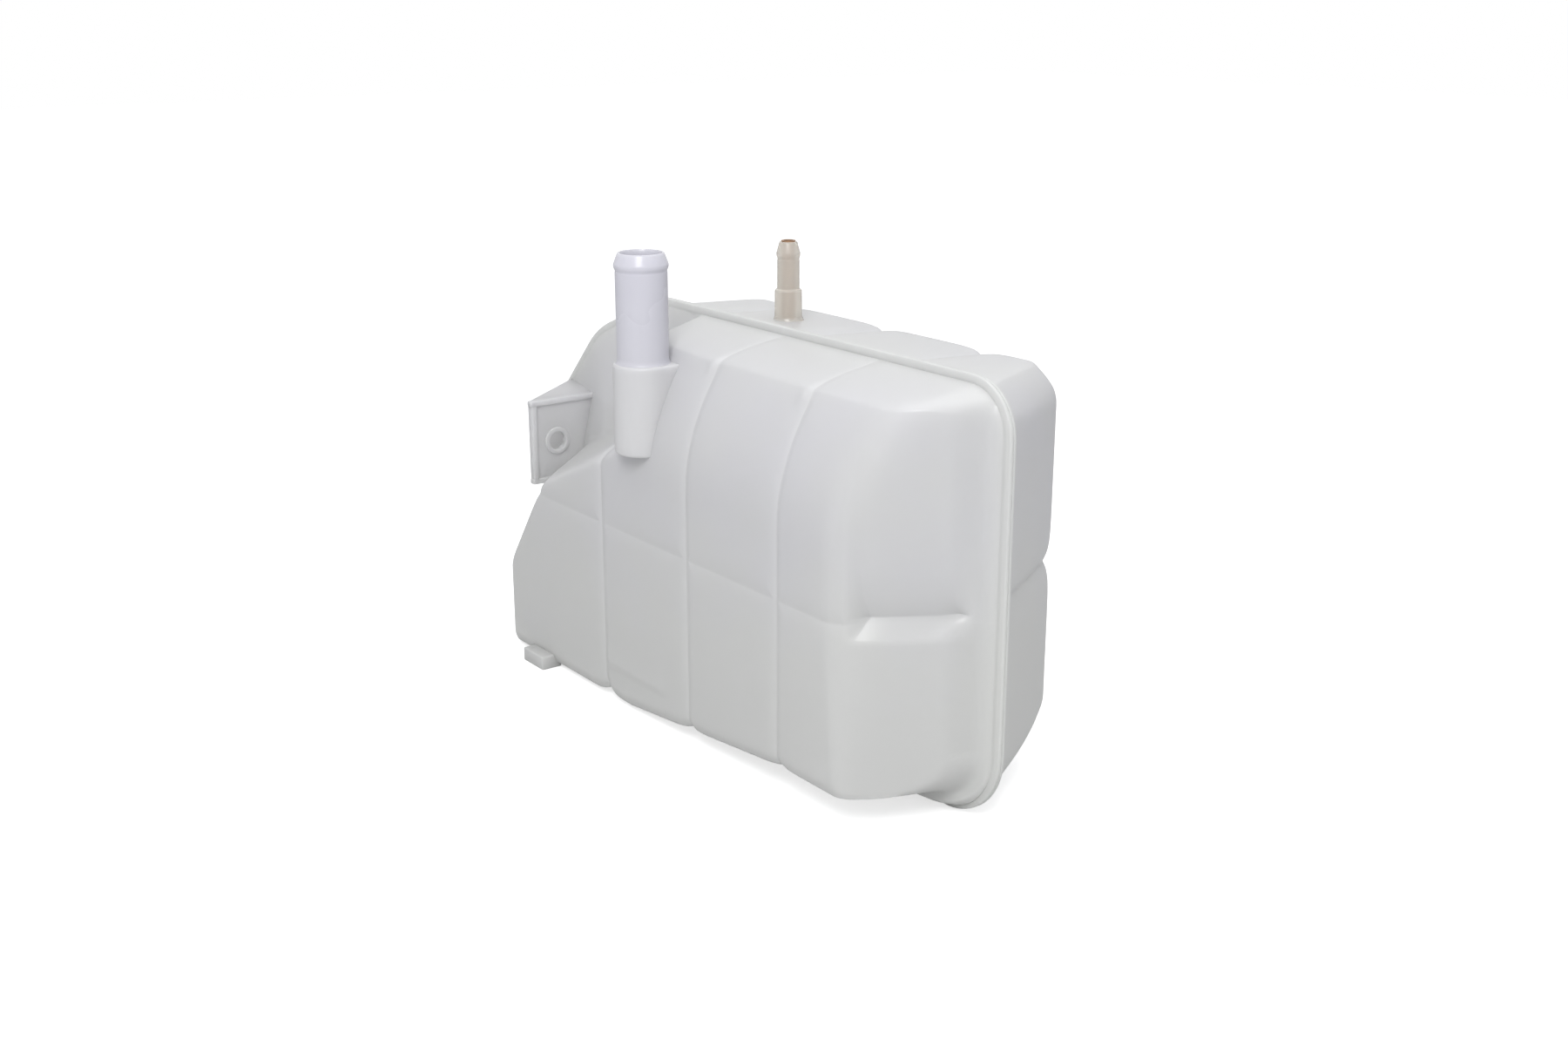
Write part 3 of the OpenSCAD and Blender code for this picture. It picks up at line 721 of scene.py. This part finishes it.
ring_face = plate_x + plate_t + ring_h
ring_section = [(6.0, ring_face - 1.6), (6.0, ring_face - 0.35), (5.9, ring_face - 0.1), (5.65, ring_face),
                (4.35, ring_face), (4.1, ring_face - 0.1), (4.0, ring_face - 0.35), (4.0, ring_face - 1.6)]
ring_points, ring_faces = across(ring_section, (hole_y, hole_z))
hole_ring = make_piece("hole_ring", ring_points, ring_faces)
foot_from, foot_to = -96.75, -80.25


def foot(name, from_y, to_y, height):
    """A foot under one half: it starts inside the wall and stands out past it."""
    return plates(name, [plate(rectangle(foot_from, from_y, foot_to, to_y), 2, 0.0, height)], 0.6)


front_foot = foot("front_foot", -44.0, -53.5, 6.0)
rear_foot = foot("rear_foot", 50.0, 54.5, 8.5)

# %% [markdown]
# ## Milky plastic
# Natural polypropylene lets light in and scatters it, so its shadows are pale and its edges glow a little.
# Subsurface scattering does that, with a share of light that comes straight through the wall. Over it lie a
# satin sheen, a faint unevenness of tone as in any unfilled moulding, slow waves that were left by cooling,
# and a very fine grain from the mould. Thin parts let more light through than the body does.

# %% Materials


def new_material(name):
    material = bpy.data.materials.new(name)
    material.use_nodes = True
    material.node_tree.nodes.clear()
    return material, material.node_tree.nodes, material.node_tree.links


def add(nodes, kind, **sockets):
    node = nodes.new(kind)
    for key, value in sockets.items():
        if hasattr(node, key):
            setattr(node, key, value)
        else:
            node.inputs[key.replace("_", " ")].default_value = value
    return node


def milky_plastic(name, colour, warm, cool, roughness=0.3, scatter=0.3, through=0.35, clear=0.0):
    material, nodes, links = new_material(name)
    place = add(nodes, "ShaderNodeTexCoord")
    clouds = add(nodes, "ShaderNodeTexNoise", Scale=14.0, Detail=3.0, Roughness=0.55)
    tint = add(nodes, "ShaderNodeMix", data_type="RGBA")
    tint.inputs[6].default_value = (*cool, 1)
    tint.inputs[7].default_value = (*warm, 1)
    links.new(place.outputs["Object"], clouds.inputs["Vector"])
    # The tint leans warmer towards the bottom and cooler, bluer towards the top, by height.
    height = add(nodes, "ShaderNodeAttribute", attribute_name="height_share")
    blend = add(nodes, "ShaderNodeMath", operation="MULTIPLY_ADD")
    blend.inputs[1].default_value = 1.5
    links.new(clouds.outputs["Fac"], blend.inputs[0])
    lower = add(nodes, "ShaderNodeMath", operation="MULTIPLY_ADD", use_clamp=True)
    lower.inputs[1].default_value = -0.9
    links.new(height.outputs["Fac"], lower.inputs[0])
    links.new(blend.outputs[0], lower.inputs[2])
    links.new(lower.outputs[0], tint.inputs[0])
    base = add(nodes, "ShaderNodeMix", data_type="RGBA")
    base.inputs[0].default_value = 0.5
    base.inputs[6].default_value = (*colour, 1)
    links.new(tint.outputs[2], base.inputs[7])
    # Painted light: towards the weld flange the colour is mixed to a lighter tint, which lifts the shade on
    # the flange's edges.
    seam_light = add(nodes, "ShaderNodeAttribute", attribute_name="painted_seam_light")
    seam_light_share = add(nodes, "ShaderNodeMath", operation="MULTIPLY")
    seam_light_share.inputs[1].default_value = 0.7
    links.new(seam_light.outputs["Fac"], seam_light_share.inputs[0])
    edge = add(nodes, "ShaderNodeMix", data_type="RGBA")
    edge.inputs[7].default_value = (*[min(0.9, 1.14 * c) for c in warm], 1)
    links.new(seam_light_share.outputs[0], edge.inputs[0])
    links.new(base.outputs[2], edge.inputs[6])
    # Painted highlight: the colour is mixed towards a pale grey along the creases.
    crease_light = add(nodes, "ShaderNodeAttribute", attribute_name="painted_crease_light")
    crease_light_share = add(nodes, "ShaderNodeMath", operation="MULTIPLY")
    crease_light_share.inputs[1].default_value = 0.22
    links.new(crease_light.outputs["Fac"], crease_light_share.inputs[0])
    crease_lightened = add(nodes, "ShaderNodeMix", data_type="RGBA")
    crease_lightened.inputs[7].default_value = (0.86, 0.86, 0.86, 1)
    links.new(crease_light_share.outputs[0], crease_lightened.inputs[0])
    links.new(edge.outputs[2], crease_lightened.inputs[6])
    waves = add(nodes, "ShaderNodeTexNoise", Scale=38.0, Detail=2.0)
    grain = add(nodes, "ShaderNodeTexNoise", Scale=1400.0, Detail=2.0)
    for noise in (waves, grain):
        links.new(place.outputs["Object"], noise.inputs["Vector"])
    slow = add(nodes, "ShaderNodeBump", Strength=0.12, Distance=0.0012)
    fine = add(nodes, "ShaderNodeBump", Strength=0.10, Distance=0.00008)
    links.new(waves.outputs["Fac"], slow.inputs["Height"])
    links.new(grain.outputs["Fac"], fine.inputs["Height"])
    links.new(slow.outputs["Normal"], fine.inputs["Normal"])
    dull = add(nodes, "ShaderNodeMapRange")
    dull.inputs["To Min"].default_value = roughness - 0.05
    dull.inputs["To Max"].default_value = roughness + 0.07
    links.new(clouds.outputs["Fac"], dull.inputs["Value"])
    surface = add(nodes, "ShaderNodeBsdfPrincipled")
    surface.inputs["Subsurface Weight"].default_value = scatter
    surface.inputs["Subsurface Radius"].default_value = (1.0, 0.98, 1.0)
    surface.inputs["Subsurface Scale"].default_value = 0.006
    surface.inputs["IOR"].default_value = 1.49
    surface.inputs["Specular IOR Level"].default_value = 0.45
    links.new(crease_lightened.outputs[2], surface.inputs["Base Color"])
    links.new(dull.outputs["Result"], surface.inputs["Roughness"])
    links.new(fine.outputs["Normal"], surface.inputs["Normal"])
    surface.inputs["Transmission Weight"].default_value = clear
    glow = add(nodes, "ShaderNodeBsdfTranslucent")
    links.new(crease_lightened.outputs[2], glow.inputs["Color"])
    links.new(fine.outputs["Normal"], glow.inputs["Normal"])
    both = add(nodes, "ShaderNodeMixShader")
    both.inputs[0].default_value = through
    links.new(surface.outputs[0], both.inputs[1])
    links.new(glow.outputs[0], both.inputs[2])
    out = add(nodes, "ShaderNodeOutputMaterial")
    links.new(both.outputs[0], out.inputs[0])
    return material


def brown_metal():
    material, nodes, links = new_material("brown_tube")
    place = add(nodes, "ShaderNodeTexCoord")
    stain = add(nodes, "ShaderNodeTexNoise", Scale=260.0, Detail=4.0)
    links.new(place.outputs["Object"], stain.inputs["Vector"])
    tone = add(nodes, "ShaderNodeValToRGB")
    tone.color_ramp.elements[0].color = (0.22, 0.12, 0.07, 1)
    tone.color_ramp.elements[1].color = (0.50, 0.30, 0.17, 1)
    links.new(stain.outputs["Fac"], tone.inputs["Fac"])
    surface = add(nodes, "ShaderNodeBsdfPrincipled")
    surface.inputs["Metallic"].default_value = 0.8
    surface.inputs["Roughness"].default_value = 0.45
    links.new(tone.outputs["Color"], surface.inputs["Base Color"])
    out = add(nodes, "ShaderNodeOutputMaterial")
    links.new(surface.outputs[0], out.inputs[0])
    return material


body_plastic = milky_plastic("body_plastic", (0.69, 0.69, 0.69), (0.695, 0.70, 0.682), (0.68, 0.67, 0.75))
# Painted light: the lining is a lighter copy of the body plastic, which brightens the light inside the
# hollow that shows through the wall.
lining_lightened_plastic = milky_plastic("lining_lightened_plastic", (0.85, 0.85, 0.85), (0.86, 0.86, 0.83), (0.83, 0.83, 0.88),
                               through=0.85)
# Painted shade: the hose nipple is a darker, bluer copy of the body plastic, which holds down the light
# that comes through its top.
nipple_darkened_plastic = milky_plastic("nipple_darkened_plastic", (0.60, 0.595, 0.64), (0.61, 0.605, 0.63),
                               (0.58, 0.575, 0.655), roughness=0.27, scatter=0.3, through=0.12)
# Painted light: the bracket's plastic is a lighter copy of the body plastic, which lifts the shade on the
# bracket; the larger share of light let through is real.
thin_lightened_plastic = milky_plastic("thin_lightened_plastic", (0.84, 0.84, 0.85), (0.84, 0.84, 0.82), (0.82, 0.815, 0.88),
                             through=0.6)
# Painted light: the boss is a lighter copy of the body plastic, which paints it lighter than the face below
# it.
boss_lightened_plastic = milky_plastic("boss_lightened_plastic", (0.76, 0.76, 0.765), (0.77, 0.77, 0.75), (0.75, 0.745, 0.79))
# Painted light: the vent nipple is a lighter, warm copy of the body plastic, a painted glow of the thin
# stub with a painted warm tint for the brown tube seen through its wall.
vent_lightened_plastic = milky_plastic("vent_lightened_plastic", (0.91, 0.865, 0.79), (0.92, 0.865, 0.77), (0.89, 0.86, 0.82),
                             roughness=0.25, scatter=0.0, through=0.12, clear=0.66)
tube_metal = brown_metal()


def dress(piece, material, lining=None):
    if lining:
        piece.data.materials[0], piece.data.materials[1] = material, lining
    else:
        piece.data.materials.clear()
        piece.data.materials.append(material)


for piece in (front_half, rear_half):
    dress(piece, body_plastic, lining_lightened_plastic)
for piece in (front_foot, rear_foot):
    dress(piece, body_plastic)
dress(hose_boss, boss_lightened_plastic)
for piece in (bracket, hole_ring):
    dress(piece, thin_lightened_plastic)
dress(hose_nipple, nipple_darkened_plastic)
dress(vent_nipple, vent_lightened_plastic)
cad_looks = {"front_shell": body_plastic, "rear_shell": body_plastic, "vent_tube": tube_metal}
for node, material in cad_looks.items():
    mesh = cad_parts[node].data
    mesh.materials.clear()
    mesh.materials.append(material)
print("materials", [m.name for m in bpy.data.materials])

# %% [markdown]
# ## Floor, light and background
# The photograph is a soft studio picture on white. A pale world gives light from all round, a soft lamp at
# the upper right shapes the shoulder, and a wider, weaker one overhead keeps the top light. The floor is
# lifted for the camera alone, so it goes white and keeps the shadow without lighting the tank more.

# %% Floor, world and lamps
floor_mesh = bpy.data.meshes.new("floor")
floor_mesh.from_pydata([(-4, -4, 0), (4, -4, 0), (4, 4, 0), (-4, 4, 0)], [], [(0, 1, 2, 3)])
floor = bpy.data.objects.new("floor", floor_mesh)
bpy.context.scene.collection.objects.link(floor)
floor_material, floor_nodes, floor_links = new_material("floor_white")
floor_paint = add(floor_nodes, "ShaderNodeBsdfDiffuse")
floor_paint.inputs["Color"].default_value = (0.68, 0.68, 0.68, 1)
floor_lift = add(floor_nodes, "ShaderNodeEmission")
floor_rays = add(floor_nodes, "ShaderNodeLightPath")
floor_sum = add(floor_nodes, "ShaderNodeAddShader")
floor_out = add(floor_nodes, "ShaderNodeOutputMaterial")
lift_share = add(floor_nodes, "ShaderNodeMath", operation="MULTIPLY")
lift_share.inputs[1].default_value = 0.62
floor_links.new(floor_rays.outputs["Is Camera Ray"], lift_share.inputs[0])
floor_links.new(lift_share.outputs[0], floor_lift.inputs["Strength"])
floor_links.new(floor_paint.outputs[0], floor_sum.inputs[0])
floor_links.new(floor_lift.outputs[0], floor_sum.inputs[1])
floor_links.new(floor_sum.outputs[0], floor_out.inputs[0])
floor_mesh.materials.append(floor_material)

world = bpy.data.worlds.new("studio")
bpy.context.scene.world = world
world.use_nodes = True
world.node_tree.nodes.clear()
world_nodes, world_links = world.node_tree.nodes, world.node_tree.links
rays = add(world_nodes, "ShaderNodeLightPath")
seen = add(world_nodes, "ShaderNodeMath", operation="MAXIMUM")
seen_too = add(world_nodes, "ShaderNodeMath", operation="MAXIMUM")
world_links.new(rays.outputs["Is Camera Ray"], seen.inputs[0])
world_links.new(rays.outputs["Is Glossy Ray"], seen.inputs[1])
world_links.new(seen.outputs[0], seen_too.inputs[0])
world_links.new(rays.outputs["Is Transmission Ray"], seen_too.inputs[1])
room = add(world_nodes, "ShaderNodeBackground", Strength=0.67)
room.inputs["Color"].default_value = (0.97, 0.98, 1.0, 1)
white = add(world_nodes, "ShaderNodeBackground", Strength=1.0)
white.inputs["Color"].default_value = (1, 1, 1, 1)
choice = add(world_nodes, "ShaderNodeMixShader")
world_links.new(seen_too.outputs[0], choice.inputs[0])
world_links.new(room.outputs[0], choice.inputs[1])
world_links.new(white.outputs[0], choice.inputs[2])
world_out = add(world_nodes, "ShaderNodeOutputWorld")
world_links.new(choice.outputs[0], world_out.inputs[0])


def soft_lamp(name, at, toward, size, watts):
    data = bpy.data.lights.new(name, "AREA")
    data.shape = "SQUARE"
    data.size = size
    data.energy = watts
    lamp = bpy.data.objects.new(name, data)
    bpy.context.scene.collection.objects.link(lamp)
    lamp.location = at
    lamp.rotation_euler = (Vector(toward) - Vector(at)).to_track_quat("-Z", "Y").to_euler()
    return lamp


soft_lamp("key", (0.62, -0.62, 0.86), (0.05, 0, 0.12), 0.45, 8.1)
soft_lamp("top", (0.0, 0.1, 1.0), (0, 0, 0.1), 0.9, 3.2)
bpy.context.scene.view_settings.view_transform = "Standard"
